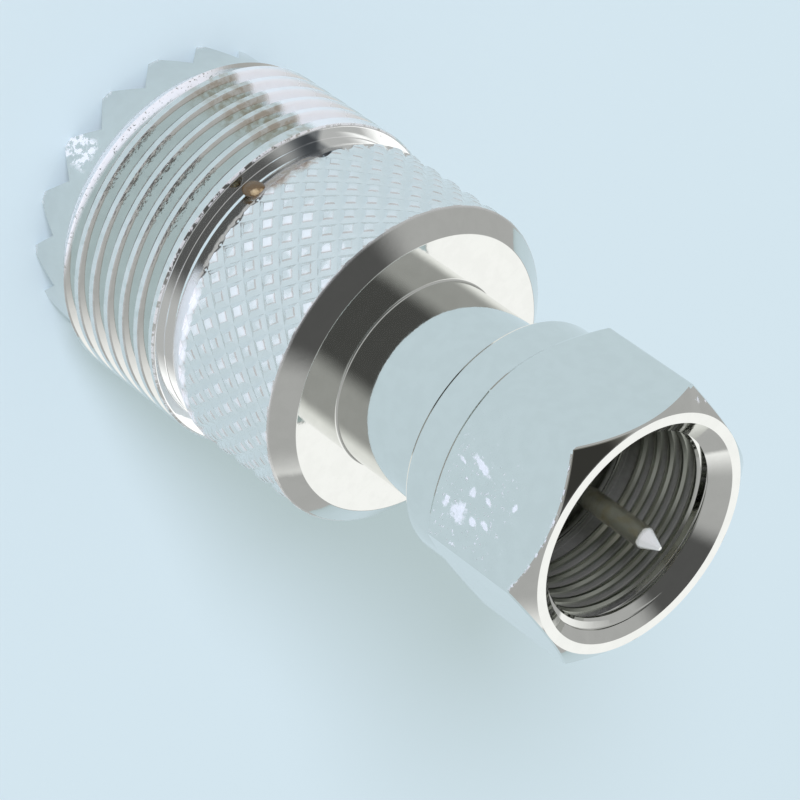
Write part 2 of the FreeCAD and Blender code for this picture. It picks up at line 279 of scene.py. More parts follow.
# knurl: one diamond pad with its flanks, repeated flat, wrapped round the collar as the face of the cutting tool
cellWidth = fullTurn * jack["collarRadius"] / knurl["around"]
cellHeight = knurl["height"]
pad = added("pad", bpy.ops.mesh.primitive_circle_add, vertices=4, radius=1, fill_type="NGON")
editing(pad)
bpy.context.tool_settings.mesh_select_mode = (False, False, True)
bpy.ops.mesh.select_all(action="SELECT")
bpy.ops.transform.rotate(value=math.radians(90), orient_axis="X", center_override=(0, 0, 0))
bpy.ops.transform.resize(value=(cellWidth / 2, 1, cellHeight / 2), center_override=(0, 0, 0))
bpy.ops.mesh.inset(thickness=knurl["rootFlat"] / 2, depth=0)
bpy.ops.mesh.inset(thickness=knurl["flank"], depth=knurl["depth"] - knurl["edgeDepth"])
bpy.ops.mesh.inset(thickness=knurl["edge"], depth=knurl["edgeDepth"])
bpy.ops.mesh.subdivide(number_cuts=knurl["cuts"])
done()
for vertex in pad.data.vertices:
    fromMiddle = Vector((vertex.co.x, vertex.co.z)).length
    vertex.co.y -= knurl["sag"] * fromMiddle ** 2 * vertex.co.y / knurl["depth"]
editing(pad)
bpy.ops.mesh.duplicate_move(TRANSFORM_OT_translate={"value": (cellWidth / 2, 0, cellHeight / 2)})
done()
applied(pad, "ARRAY", count=knurl["around"], use_relative_offset=False, use_constant_offset=True,
        constant_offset_displace=(cellWidth, 0, 0))
applied(pad, "ARRAY", count=knurl["rows"], use_relative_offset=False, use_constant_offset=True,
        constant_offset_displace=(0, 0, cellHeight))
for vertex in pad.data.vertices:
    sideways, outward, upward = vertex.co
    turn = math.radians(knurl["padAngle"]) + sideways / jack["collarRadius"]
    reach = jack["collarRadius"] - knurl["depth"] + outward
    height = knurl["padPlace"] + upward - knurl["rows"] / 2 * cellHeight
    vertex.co = (reach * math.cos(turn), reach * math.sin(turn), height)
tidied(pad)
editing(pad)
bpy.ops.mesh.bisect(plane_co=(0, 0, knurl["cutFrom"]), plane_no=(0, 0, 1), clear_inner=True)
bpy.ops.mesh.select_all(action="SELECT")
bpy.ops.mesh.bisect(plane_co=(0, 0, knurl["cutTo"]), plane_no=(0, 0, 1), clear_outer=True)
bpy.ops.mesh.select_all(action="DESELECT")
bpy.context.tool_settings.mesh_select_mode = (False, True, False)
bpy.ops.mesh.select_non_manifold(extend=False, use_wire=False, use_multi_face=False, use_non_contiguous=False,
                                 use_verts=False)
bpy.ops.mesh.extrude_edges_move(TRANSFORM_OT_translate={"value": (0, 0, 0)})
bpy.ops.transform.resize(value=(knurl["outside"], knurl["outside"], 1), center_override=(0, 0, 0))
bpy.ops.mesh.bridge_edge_loops()
done()
tidied(pad)
combine(jackBody, pad, "DIFFERENCE")
finished(jackBody, "jack", "nickel_plate", "jack_body", angle=20)


# Coupling nut: rounded collar behind, six flats, chamfered corners, countersunk and tapped in front

nut = {
    "rear": 23.2, "collarRadius": 5.62, "rearRadius": 0.4, "collarTo": 25.2,
    "rearArc": ((1, 0), (0.617, 0.076), (0.293, 0.293), (0.076, 0.617), (0, 1)),
    "hexFrom": 25.84, "hexTo": 30.89, "front": 31.62, "frontRadius": 5.65, "chamferRadius": 6.55,
    "sides": 6, "flatDistance": 5.7, "cornerRadius": 6.6, "flatEdge": 0.07, "flatLeast": 5, "nearly": 0.02,
    "rearFunnel": 1.15, "funnelDepth": 0.15, "behind": 1,
    "runRadius": 4.58, "ringSeatRadius": 4.92, "ringSeatFrom": 24.18, "ringSeatTo": 25.02, "boreFrom": 26.0,
    "reliefRadius": 4.8, "reliefTo": 26.7, "threadMinor": 4.38, "threadRoot": 4.76, "threadPitch": 0.794,
    "threadTurns": 7, "threadFrom": 26.35, "tapFlat": 0.09, "tapEase": 0.09,
    "mouthRadius": 5.18, "mouthDepth": 0.72, "mouthFlare": 1.0, "before": 0.9, "corner": 0.04,
}
rearFlare = (nut["hexFrom"] - nut["collarTo"]) / (nut["chamferRadius"] - nut["collarRadius"])
frontFlare = (nut["front"] - nut["hexTo"]) / (nut["chamferRadius"] - nut["frontRadius"])
couplingNut = lathe("couplingNut", [
    (0, nut["rear"]),
    *[(nut["collarRadius"] - nut["rearRadius"] * inward, nut["rear"] + nut["rearRadius"] * up)
      for inward, up in nut["rearArc"]],
    (nut["collarRadius"], nut["collarTo"]),
    (nut["cornerRadius"], nut["collarTo"] + (nut["cornerRadius"] - nut["collarRadius"]) * rearFlare),
    (nut["cornerRadius"], nut["front"] - (nut["cornerRadius"] - nut["frontRadius"]) * frontFlare),
    (nut["frontRadius"], nut["front"]),
    (0, nut["front"]),
])
for side in range(nut["sides"]):
    turn = math.radians(360 / nut["sides"] * side)
    outward = Vector((math.cos(turn), math.sin(turn), 0))
    editing(couplingNut)
    bpy.ops.mesh.bisect(plane_co=outward * nut["flatDistance"], plane_no=outward, clear_outer=True, use_fill=True)
    done()
tidied(couplingNut)

# the six flats are found by their place and size, and all their edges are broken
editing(couplingNut, lambda vertex: False)
done()
for face in couplingNut.data.polygons:
    upright = abs(face.normal.z) < nut["nearly"] / 2
    outermost = abs(face.center.xy.length - nut["flatDistance"]) < nut["nearly"]
    face.select = upright and outermost and face.area > nut["flatLeast"]
bpy.ops.object.mode_set(mode="EDIT")
bpy.context.tool_settings.mesh_select_mode = (False, False, True)
bpy.ops.mesh.select_mode(type="EDGE")
bpy.ops.mesh.bevel(offset=nut["flatEdge"], segments=1, affect="EDGES")
done()
nutBore = lathe("nutBore", [
    (0, nut["rear"] - nut["behind"]),
    (nut["runRadius"] + nut["rearFunnel"], nut["rear"] - nut["behind"]),
    (nut["runRadius"], nut["rear"] + nut["funnelDepth"]),
    (nut["runRadius"], nut["ringSeatFrom"]),
    (nut["ringSeatRadius"], nut["ringSeatFrom"]),
    (nut["ringSeatRadius"], nut["ringSeatTo"]),
    (nut["runRadius"], nut["ringSeatTo"]),
    (nut["runRadius"], nut["boreFrom"]),
    (nut["reliefRadius"], nut["boreFrom"]),
    (nut["reliefRadius"], nut["reliefTo"]),
    (nut["threadMinor"], nut["reliefTo"]),
    (nut["threadMinor"], nut["front"] - nut["mouthDepth"]),
    (nut["mouthRadius"] + nut["mouthFlare"], nut["front"] + nut["before"]),
    (0, nut["front"] + nut["before"]),
], corner=nut["corner"])
nutTap = threadTool("nutTap", grooveSection(nut["threadRoot"], nut["threadMinor"], nut["tapFlat"], nut["tapEase"]),
                    nut["threadPitch"], nut["threadTurns"], nut["threadFrom"])
combine(couplingNut, nutBore, "DIFFERENCE")
combine(couplingNut, nutTap, "DIFFERENCE")
finished(couplingNut, "nut", "nickel_plate", "coupling_nut", angle=20)


# Pieces inside: insulators, slotted contact, pin and the open ring that holds the nut

core = {
    "shankRadius": 1.73, "bossTop": 7.6, "bossRadius": 4.0, "bossBevel": 0.3, "floor": 8.6, "socketRadius": 6.4,
    "socketDepth": 13.2, "faceInset": 25.6, "neckFloor": 15.2, "neckRadius": 3.0, "pinHole": 0.83,
    "contactTip": 1.0, "contactRadius": 2.8, "contactBore": 2.0, "lip": 0.35, "contactFloor": 6.6,
    "drillPoint": 7.6, "contactTail": 14.4, "tailRadius": 1.2, "contactShank": 1.7,
    "slotLength": 8, "slotWidth": 0.5, "slotTo": 6.0,
    "pinFrom": 12.0, "pinShank": 0.8, "pinRadius": 0.5, "pinTip": 32.8, "pinPoint": 0.9, "pinFlat": 0.1,
    "pinFacets": 5, "pinFacetTurn": -38, "pinFacetDepth": 0.8,
    "ringFrom": 24.3, "ringTo": 24.9, "ringInner": 3.8, "ringOuter": 4.8, "ringGap": 40, "ringEdge": 0.08,
    "softEdge": 0.05, "metalEdge": 0.04,
}
jackInsulator = lathe("jackInsulator", [
    (core["shankRadius"], core["bossTop"]),
    (core["bossRadius"] - core["bossBevel"], core["bossTop"]),
    (core["bossRadius"], core["bossTop"] + core["bossBevel"]),
    (core["bossRadius"], core["floor"]),
    (core["socketRadius"], core["floor"]),
    (core["socketRadius"], core["socketDepth"]),
    (core["shankRadius"], core["socketDepth"]),
], corner=core["softEdge"], steps=128)
finished(jackInsulator, "jack", "white_plastic", "jack_insulator")

frontInsulator = lathe("frontInsulator", [
    (core["pinHole"], core["neckFloor"]),
    (core["neckRadius"], core["neckFloor"]),
    (core["neckRadius"], core["faceInset"]),
    (core["pinHole"], core["faceInset"]),
], corner=core["softEdge"], steps=96)
finished(frontInsulator, "jack", "white_plastic", "front_insulator")

contact = lathe("contact", [
    (0, core["drillPoint"]),
    (core["contactBore"], core["contactFloor"]),
    (core["contactBore"], core["contactTip"] + core["lip"]),
    (core["contactBore"] + core["lip"], core["contactTip"]),
    (core["contactRadius"] - core["lip"], core["contactTip"]),
    (core["contactRadius"], core["contactTip"] + core["lip"]),
    (core["contactRadius"], core["bossTop"]),
    (core["contactShank"], core["bossTop"]),
    (core["contactShank"], core["socketDepth"]),
    (core["tailRadius"], core["socketDepth"]),
    (core["tailRadius"], core["contactTail"]),
    (core["pinHole"], core["contactTail"]),
    (core["pinHole"], core["pinFrom"]),
    (0, core["pinFrom"]),
], corner=core["metalEdge"], steps=96)
for turn in (0, 90):
    slot = added("slot", bpy.ops.mesh.primitive_cube_add, size=1)
    editing(slot)
    bpy.ops.transform.resize(value=(core["slotLength"], core["slotWidth"], core["slotTo"]), center_override=(0, 0, 0))
    bpy.ops.transform.rotate(value=math.radians(turn), orient_axis="Z", center_override=(0, 0, 0))
    bpy.ops.transform.translate(value=(0, 0, core["slotTo"] / 2))
    done()
    combine(contact, slot, "DIFFERENCE")
finished(contact, "jack", "contact_plate", "jack_contact")

centrePin = lathe("centrePin", [
    (0, core["pinFrom"]),
    (core["pinShank"], core["pinFrom"]),
    (core["pinShank"], core["faceInset"]),
    (core["pinRadius"], core["faceInset"]),
    (core["pinRadius"], core["pinTip"] - core["pinPoint"]),
    (core["pinFlat"], core["pinTip"]),
    (0, core["pinTip"]),
], corner=core["metalEdge"], steps=64)

# the tip is cut with a few facets that lean like the cone does
tipTop = Vector((0, 0, core["pinTip"]))
tipRise = Vector((0, 0, core["pinRadius"] - core["pinFlat"]))
for side in range(core["pinFacets"]):
    turn = math.radians(core["pinFacetTurn"]) + side * fullTurn / core["pinFacets"]
    across = Vector((math.cos(turn), math.sin(turn), 0))
    editing(centrePin)
    bpy.ops.mesh.bisect(plane_co=across * core["pinFlat"] * core["pinFacetDepth"] + tipTop,
                        plane_no=across * core["pinPoint"] + tipRise, clear_outer=True, use_fill=True)
    done()
tidied(centrePin)
finished(centrePin, "jack", "contact_plate", "centre_pin", angle=20)

retainingRing = drawnLine("retainingRing", [
    (core["ringInner"], core["ringFrom"]),
    (core["ringOuter"], core["ringFrom"]),
    (core["ringOuter"], core["ringTo"]),
    (core["ringInner"], core["ringTo"]),
    (core["ringInner"], core["ringFrom"]),
])
editing(retainingRing)
bpy.ops.mesh.bevel(offset=core["ringEdge"], segments=2, affect="VERTICES")
bpy.ops.mesh.select_all(action="SELECT")
bpy.ops.mesh.edge_face_add()
bpy.ops.mesh.spin(steps=80, angle=math.radians(360 - core["ringGap"]), center=(0, 0, 0), axis=(0, 0, 1))
bpy.ops.mesh.select_all(action="SELECT")
bpy.ops.mesh.normals_make_consistent(inside=False)
done()
finished(retainingRing, "jack", "spring_steel", "retaining_ring")


# Bead of dried flux in the relief behind the collar

bead = {"radius": 7.45, "tilt": -97.8, "lean": -26, "height": 10.1, "wide": 0.42, "deep": 0.26, "tall": 0.56}
fluxBead = added("fluxBead", bpy.ops.mesh.primitive_uv_sphere_add, segments=32, ring_count=20, radius=1)
editing(fluxBead)
bpy.ops.transform.resize(value=(bead["deep"], bead["wide"], bead["tall"]), center_override=(0, 0, 0))
bpy.ops.transform.rotate(value=math.radians(bead["lean"]), orient_axis="X", center_override=(0, 0, 0))
bpy.ops.transform.translate(value=(bead["radius"], 0, bead["height"]))
done()
fluxBead.data.transform(Matrix.Rotation(math.radians(bead["tilt"]), 4, "Z"))
finished(fluxBead, "jack", "nickel_plate")


# Shader building: nodes are added with their settings, and a value may be a number or another node's socket

def fill(tree, node, inputs):
    for name, value in inputs.items():
        if isinstance(value, bpy.types.NodeSocket):
            tree.links.new(value, node.inputs[name])
        else:
            node.inputs[name].default_value = value


def place(tree, kind, inputs=None, **settings):
    node = tree.nodes.new(kind)
    for name, setting in settings.items():
        setattr(node, name, setting)
    fill(tree, node, inputs or {})
    return node


def figure(tree, operation, *values):
    return place(tree, "ShaderNodeMath", dict(enumerate(values)), operation=operation).outputs[0]


def chained(operation):
    # a sum, difference, product or maximum of two or more values
    def chain(tree, *values):
        result = values[0]
        for value in values[1:]:
            result = figure(tree, operation, result, value)
        return result
    return chain


plus, minus, times, most = (chained(operation) for operation in ("ADD", "SUBTRACT", "MULTIPLY", "MAXIMUM"))


def hypotenuse(tree, first, second):
    return figure(tree, "SQRT", plus(tree, times(tree, first, first), times(tree, second, second)))


def bearing(tree, parts):
    # the direction of a place round the axis in degrees
    return figure(tree, "DEGREES", figure(tree, "ARCTAN2", parts["Y"], parts["X"]))


def ramp(tree, value, low, high, fromValue=0.0, toValue=1.0):
    # a smooth step between two places
    return place(tree, "ShaderNodeMapRange", {"Value": value, "From Min": low, "From Max": high, "To Min": fromValue,
                                              "To Max": toValue}, interpolation_type="SMOOTHSTEP").outputs[0]


def span(tree, value, low, high, blur):
    # a mask between two values, soft at both ends
    rise = ramp(tree, value, minus(tree, low, blur), plus(tree, low, blur))
    fall = ramp(tree, value, plus(tree, high, blur), minus(tree, high, blur))
    return times(tree, rise, fall)


def blend(tree, share, first, second):
    return place(tree, "ShaderNodeMix", {0: share, 6: first, 7: second}, data_type="RGBA").outputs[2]


def noise(tree, where, scale, detail=2.0, roughness=0.5):
    return place(tree, "ShaderNodeTexNoise", {"Vector": where, "Scale": scale, "Detail": detail,
                                              "Roughness": roughness}).outputs["Fac"]


def bumped(tree, height):
    return place(tree, "ShaderNodeBump", {"Height": height, "Distance": millimetre}).outputs[0]


def glossySplit(tree, first, second, surface):
    # the second shader for glossy rays, the first for all others
    isGlossy = place(tree, "ShaderNodeLightPath").outputs["Is Glossy Ray"]
    mixed = place(tree, "ShaderNodeMixShader", {0: isGlossy, 1: first.outputs[0], 2: second.outputs[0]})
    tree.links.new(mixed.outputs[0], surface)


def nodeGroup(name, inputs, outputs):
    # inputs go by name and first value, a number, a vector or a colour, and outputs by name and kind
    kinds = {0: "Float", 3: "Vector", 4: "Color"}
    tree = bpy.data.node_groups.new(name, "ShaderNodeTree")
    for title, value in inputs.items():
        kind = kinds[len(value) if isinstance(value, tuple) else 0]
        socket = tree.interface.new_socket(title, in_out="INPUT", socket_type="NodeSocket" + kind)
        socket.default_value = value
    for title, kind in outputs.items():
        tree.interface.new_socket(title, in_out="OUTPUT", socket_type="NodeSocket" + kind)
    return tree, tree.nodes.new("NodeGroupInput").outputs, tree.nodes.new("NodeGroupOutput").inputs


def useGroup(tree, group, **inputs):
    node = tree.nodes.new("ShaderNodeGroup")
    node.node_tree = group
    fill(tree, node, {name.replace("_", " "): value for name, value in inputs.items()})
    return node.outputs


# height and distance from the axis in millimetres, angle round it in degrees
roundAxis, given, result = nodeGroup("roundAxis", {"Place": (0.0, 0.0, 0.0)},
                                     {"Radius": "Float", "Angle": "Float", "Height": "Float"})
parts = place(roundAxis, "ShaderNodeSeparateXYZ", {0: given["Place"]}).outputs
flatLength = hypotenuse(roundAxis, parts["X"], parts["Y"])
roundAxis.links.new(figure(roundAxis, "DIVIDE", flatLength, millimetre), result["Radius"])
roundAxis.links.new(bearing(roundAxis, parts), result["Angle"])
roundAxis.links.new(figure(roundAxis, "DIVIDE", parts["Z"], millimetre), result["Height"])

# a mask between two values
between, given, result = nodeGroup("between", {"Value": 0.0, "From": 0.0, "To": 1.0, "Blur": 0.1}, {"Mask": "Float"})
between.links.new(span(between, given["Value"], given["From"], given["To"], given["Blur"]), result["Mask"])

# an oval mark on a face, its edge broken up by a noise
chip, given, result = nodeGroup("chip", {
    "Across": 0.0, "Up": 0.0, "Centre across": 0.0, "Centre up": 0.0, "Half across": 0.3, "Half up": 0.3,
    "Lean": 0.0, "Ragged": 0.0}, {"Mask": "Float"})
rise = minus(chip, given["Up"], given["Centre up"])
run = minus(chip, given["Across"], given["Centre across"], times(chip, rise, given["Lean"]))
away = hypotenuse(chip, figure(chip, "DIVIDE", run, given["Half across"]),
                  figure(chip, "DIVIDE", rise, given["Half up"]))
chip.links.new(ramp(chip, plus(chip, away, given["Ragged"]), 1.3, 0.7), result["Mask"])

# plating as it is where it is clean, and pale and duller where the mask says so: rubbed wear, and on the jack also
# painted highlights and a painted reflection
paleMarking, given, result = nodeGroup("paleMarking", {
    "Colour": (0.75, 0.76, 0.73, 1), "Roughness": 0.1, "Rubbed": 0.0, "Rubbed colour": (0.93, 0.94, 0.95, 1),
    "Dirt": 0.0, "Dirt colour": (0.3, 0.25, 0.18, 1)}, {"Colour": "Color", "Roughness": "Float", "Metallic": "Float"})
paleShare = blend(paleMarking, given["Rubbed"], given["Colour"], given["Rubbed colour"])
paleMarking.links.new(blend(paleMarking, given["Dirt"], paleShare, given["Dirt colour"]), result["Colour"])
covered = most(paleMarking, given["Rubbed"], given["Dirt"])
paleMarking.links.new(plus(paleMarking, given["Roughness"], times(paleMarking, covered, 0.4)), result["Roughness"])
paleMarking.links.new(minus(paleMarking, 1, times(paleMarking, covered, 0.85)), result["Metallic"])

# one soft-edged card of the studio, laid over the colour below it
softCard, given, result = nodeGroup("softCard", {
    "Below": (0.5, 0.5, 0.5, 1), "Card": (0.5, 0.5, 0.5, 1), "Angle": 0.0, "Reach": 0.0, "Centre": 0.0,
    "Half width": 10.0, "From": 0.0, "To": 1.0, "Side blur": 1.0, "End blur": 1.0}, {"Colour": "Color"})
aside = figure(softCard, "WRAP", minus(softCard, given["Angle"], given["Centre"]), 180, -180)
inWidth = ramp(softCard, figure(softCard, "ABSOLUTE", aside), plus(softCard, given["Half width"], given["Side blur"]),
               minus(softCard, given["Half width"], given["Side blur"]))
cover = times(softCard, inWidth, span(softCard, given["Reach"], given["From"], given["To"], given["End blur"]))
softCard.links.new(blend(softCard, cover, given["Below"], given["Card"]), result["Colour"])


def masked(tree, value, low, high, blur):
    return useGroup(tree, between, Value=value, From=low, To=high, Blur=blur)["Mask"]


def around(tree):
    # object coordinates, a coordinate for turning lines, and the same place as angle, height and radius
    spot = place(tree, "ShaderNodeTexCoord").outputs["Object"]
    turned = useGroup(tree, roundAxis, Place=spot)
    lines = place(tree, "ShaderNodeCombineXYZ", {"X": turned["Radius"], "Y": turned["Height"]}).outputs[0]
    return spot, lines, turned["Angle"], turned["Height"], turned["Radius"]


def layCards(tree, angle, reach, ground, cards, endBlur):
    # each card goes from and to an angle, from and to a reach, and has a side blur and a colour
    colour = (*ground, 1)
    for name, (start, stop, low, high, sideBlur, shade) in cards.items():
        colour = useGroup(tree, softCard, Below=colour, Card=(*shade, 1), Angle=angle, Reach=reach,
                          Centre=(start + stop) / 2, Half_width=(stop - start) / 2, From=low, To=high,
                          Side_blur=sideBlur, End_blur=endBlur)["Colour"]
        colour.node.label = name
    return colour


# Floor, camera and light

floor = added("floor", bpy.ops.mesh.primitive_plane_add, size=3)

view = {"from": (0.0257085, -0.1406414, 0.1249130), "turns": (-38.112, -40.2955, 150.3209), "lens": 187.869}
bpy.ops.object.camera_add(location=view["from"], rotation=[math.radians(turn) for turn in view["turns"]])
camera = bpy.context.object
camera.data.lens = view["lens"]
camera.data.sensor_width = 36
camera.data.clip_start = 0.01
bpy.context.scene.camera = camera

light = {"towards": (-0.02, -0.82, 0.55), "distance": 2, "size": 0.6, "power": 34, "colour": (0.865, 0.838, 1)}
lampDirection = Vector(light["towards"]).normalized()
bpy.ops.object.light_add(type="AREA", location=lampDirection * light["distance"])
lamp = bpy.context.object
lamp.rotation_euler = lampDirection.to_track_quat("Z", "Y").to_euler()
lamp.data.shape = "DISK"
lamp.data.size = light["size"]
lamp.data.energy = light["power"]
lamp.data.color = light["colour"]
lamp.visible_glossy = False

bpy.context.scene.view_settings.view_transform = "Standard"

# what the metal sees above the horizon: one softbox and one dark flag in a grey room, by direction and height
skyGround = (0.5, 0.5, 0.5)
skyLight = (0.52, 0.53, 0.49, 1)
skyCards = {
    "softbox": (40, 140, 20, 60, 15, (1.2, 1.2, 1.2)),
    "darkFlag": (-150, -30, 30, 80, 15, (0.1, 0.1, 0.1)),
}
world = bpy.data.worlds.new("studio")
bpy.context.scene.world = world
world.use_nodes = True
tree = world.node_tree
plain = tree.nodes["Background"]
plain.inputs["Color"].default_value = skyLight
ray = place(tree, "ShaderNodeSeparateXYZ", {0: place(tree, "ShaderNodeTexCoord").outputs["Generated"]}).outputs
rayHeight = figure(tree, "DEGREES", figure(tree, "ARCSINE", ray["Z"]))
skyColour = layCards(tree, bearing(tree, ray), rayHeight, skyGround, skyCards, endBlur=1.5)
studio = place(tree, "ShaderNodeBackground", {"Color": skyColour})
glossySplit(tree, plain, studio, tree.nodes["World Output"].inputs["Surface"])


# Materials

def material(name):
    made = bpy.data.materials.new(name)
    made.use_nodes = True
    return made, made.node_tree, made.node_tree.nodes["Principled BSDF"]


def dress(made, *pieces):
    for piece in pieces:
        piece.data.materials.clear()
        piece.data.materials.append(made)


# floor: pale to the camera and in the metal, a little brighter for the light that it sends on
floorLook = {"seen": (0.511, 0.612, 0.651, 1), "lighting": (0.665, 0.785, 0.86, 1), "glow": (0.195, 0.237, 0.254, 1)}
paleFloor, tree, matte = material("paleFloor")
rays = place(tree, "ShaderNodeLightPath").outputs
isSeen = most(tree, rays["Is Camera Ray"], rays["Is Glossy Ray"])
fill(tree, matte, {
    "Base Color": blend(tree, isSeen, floorLook["lighting"], floorLook["seen"]), "Roughness": 1,
    "Specular IOR Level": 0, "Emission Color": floorLook["glow"], "Emission Strength": isSeen})
dress(paleFloor, floor)
print("lit the studio")

# what both nickel pieces are plated with, the colours that wear and dirt give it, and the colours of painted shade and
# painted dark reflections
plating = {
    "colour": (0.75, 0.76, 0.73, 1), "second": (0.73, 0.74, 0.71, 1), "fresh": (0.93, 0.94, 0.93, 1),
    "browned": (0.46, 0.37, 0.26, 1), "reflectedDark": (0.2, 0.22, 0.24, 1), "shaded": (0.44, 0.46, 0.41, 1),
    "chamferReflectedDark": (0.33, 0.33, 0.29, 1), "scuffed": (0.8, 0.82, 0.86, 1), "oily": (0.1, 0.1, 0.08, 1),
    "roughness": 0.04, "unevenness": 0.025, "waves": 0.002, "turning": 0.0002, "grain": 0.0004,
}


def grains(tree, spot):
    # slow waves, fine specks and coarse patches, the same on both plated pieces
    return noise(tree, spot, 1500), noise(tree, spot, 7000, 3, 0.6), noise(tree, spot, 3300, 3, 0.6)


def platedSurface(tree, shader, coarse, lines, wave, colour, dulled, raised, **wear):
    # colour, roughness and relief of the plating, with the wear laid over it
    even = plating["roughness"]
    dullness = plus(tree, ramp(tree, coarse, 0.3, 0.7, even, even + plating["unevenness"]), dulled)
    metal = useGroup(tree, paleMarking, Colour=colour, Roughness=dullness, **wear)
    relief = plus(tree, times(tree, wave, plating["waves"]), times(tree, noise(tree, lines, 9), plating["turning"]),
                  times(tree, coarse, plus(tree, plating["grain"], raised)))
    fill(tree, shader, {"Base Color": metal["Colour"], "Roughness": metal["Roughness"], "Metallic": metal["Metallic"],
                        "Normal": bumped(tree, relief)})


# jack body: bright plating, rubbed crests with a painted highlight on the lit side, dull knurl with painted glints on
# its pad tops, dirt in the thread, flux stain behind the collar, a painted reflection band on the far side of the
# thread, a painted highlight on the collar's rear chamfer and a painted dark reflection line in the relief.
# Bands of three go from and to a height or, where they are named Side, an angle, and have a blur.
# Bands of two say where a mask begins and where it is full: by radius, by angle where they are named Turn,
# and by height for the rim.
jackWear = {
    "thread": (2.9, 9.22, 0.08), "crestRadius": (7.84, 7.89), "litSide": (-68, -20, 6), "hammeredSide": (-94, -70, 5),
    "reflectionTurn": (-127.5, -131.5), "reflectionTurnBack": (-170, -144), "brownedSide": (-130, -112, 5),
    "grooveRadius": (7.44, 7.38), "lead": (2.12, 2.98, 0.06), "leadSide": (-128, -38, 8),
    "shoulder": (9.17, 9.36, 0.03), "shoulderRadius": (7.78, 7.84), "relief": (9.28, 10.86, 0.02),
    "darkLineTurn": (-133, -129.5), "darkLineTurnBack": (-114, -126),
    "stain": (10.25, 11.0, 0.15), "stainSide": (-121, -99, 3),
    "foot": (9.95, 11.1, 0.12), "footSide": (-62, 22, 4), "knurl": (10.82, 16.83, 0.03), "knurlRadius": (7.3, 7.4),
    "padRadius": (7.6, 7.64), "padGlintTurn": (-112, -95), "teeth": (-1, 1.7, 0.2), "toothSide": (-80, -69, 1.5),
    "rim": (0.25, 0.02),
}
nickel, tree, shader = material("nickelPlate")
spot, lines, angle, height, radius = around(tree)
wave, speck, coarse = grains(tree, spot)
threadPart = masked(tree, height, *jackWear["thread"])
reliefPart = masked(tree, height, *jackWear["relief"])
knurled = times(tree, masked(tree, height, *jackWear["knurl"]), ramp(tree, radius, *jackWear["knurlRadius"]))

# where it is rubbed, and where painted highlights and a painted reflection are laid on as pale plating
# painted highlight: crests between -68 and -20 degrees, the lit side, get a larger pale share on top of their rubbed
# wear
crestShare = plus(tree, 0.12, times(tree, masked(tree, angle, *jackWear["litSide"]), 0.12))
crest = times(tree, threadPart, ramp(tree, radius, *jackWear["crestRadius"]), ramp(tree, coarse, 0.3, 0.6), crestShare)
# painted reflection: the thread between about -170 and -131 degrees is made pale, where it would mirror a bright window
farSideReflection = times(tree, threadPart, ramp(tree, angle, *jackWear["reflectionTurn"]), ramp(tree, angle, *jackWear["reflectionTurnBack"]),
                0.7)
lead = times(tree, masked(tree, height, *jackWear["lead"]), masked(tree, angle, *jackWear["leadSide"]),
             ramp(tree, speck, 0.3, 0.45), 0.95)
shoulder = times(tree, masked(tree, height, *jackWear["shoulder"]), ramp(tree, radius, *jackWear["shoulderRadius"]),
                 ramp(tree, coarse, 0.4, 0.52), 0.6)
# painted highlight: a pale sheen on the rear chamfer of the collar, from -62 to 22 degrees round the axis
collarFootSheen = times(tree, masked(tree, height, *jackWear["foot"]), masked(tree, angle, *jackWear["footSide"]), 0.9)
# rubbed knurl pad tops with painted glints, stronger from -112 towards -95 degrees
padTopWearAndGlint = times(tree, ramp(tree, radius, *jackWear["padRadius"]), ramp(tree, angle, *jackWear["padGlintTurn"], 0.3, 1),
                ramp(tree, noise(tree, spot, 1100), 0.4, 0.6, 0.1, 0.9), 0.5)
speckledTooth = times(tree, masked(tree, height, *jackWear["teeth"]), masked(tree, angle, *jackWear["toothSide"]),
                      ramp(tree, coarse, 0.45, 0.55), 0.8)
crownRub = times(tree, ramp(tree, height, *jackWear["rim"]), ramp(tree, speck, 0.42, 0.6), 0.5)
# rubbed wear together with the painted highlights and the painted reflection above
paleMarks = most(tree, crest, farSideReflection, lead, shoulder, collarFootSheen, times(tree, knurled, plus(tree, 0.16, padTopWearAndGlint)),
            speckledTooth, crownRub)

# where it is stained, the plating's own colours, and a painted dark reflection line in the relief
grooveDirt = times(tree, threadPart, ramp(tree, radius, *jackWear["grooveRadius"]),
                   ramp(tree, coarse, 0.3, 0.6, 0.2, 0.8))
stain = times(tree, masked(tree, height, *jackWear["stain"]), masked(tree, angle, *jackWear["stainSide"]),
              ramp(tree, coarse, 0.35, 0.6, 0.4, 0.85))
browned = times(tree, threadPart, masked(tree, angle, *jackWear["brownedSide"]),
                ramp(tree, noise(tree, spot, 2400), 0.4, 0.6, 0.1, 0.6))
# painted reflection: a dark line across the relief, full between -129.5 and -126 degrees
darkReflectionLine = times(tree, reliefPart, ramp(tree, angle, *jackWear["darkLineTurn"]),
                  ramp(tree, angle, *jackWear["darkLineTurnBack"]), 0.85)
plate = blend(tree, ramp(tree, wave, 0.35, 0.65), plating["colour"], plating["second"])
plate = blend(tree, browned, plate, plating["browned"])
plate = blend(tree, reliefPart, plate, plating["fresh"])
plate = blend(tree, darkReflectionLine, plate, plating["reflectedDark"])
hammered = times(tree, threadPart, masked(tree, angle, *jackWear["hammeredSide"]), 0.035)
platedSurface(tree, shader, coarse, lines, wave, plate, times(tree, knurled, 0.06),
              plus(tree, hammered, times(tree, paleMarks, 0.012), times(tree, knurled, 0.004)),
              Rubbed=paleMarks, Dirt=most(tree, grooveDirt, stain))
dress(nickel, jackBody)
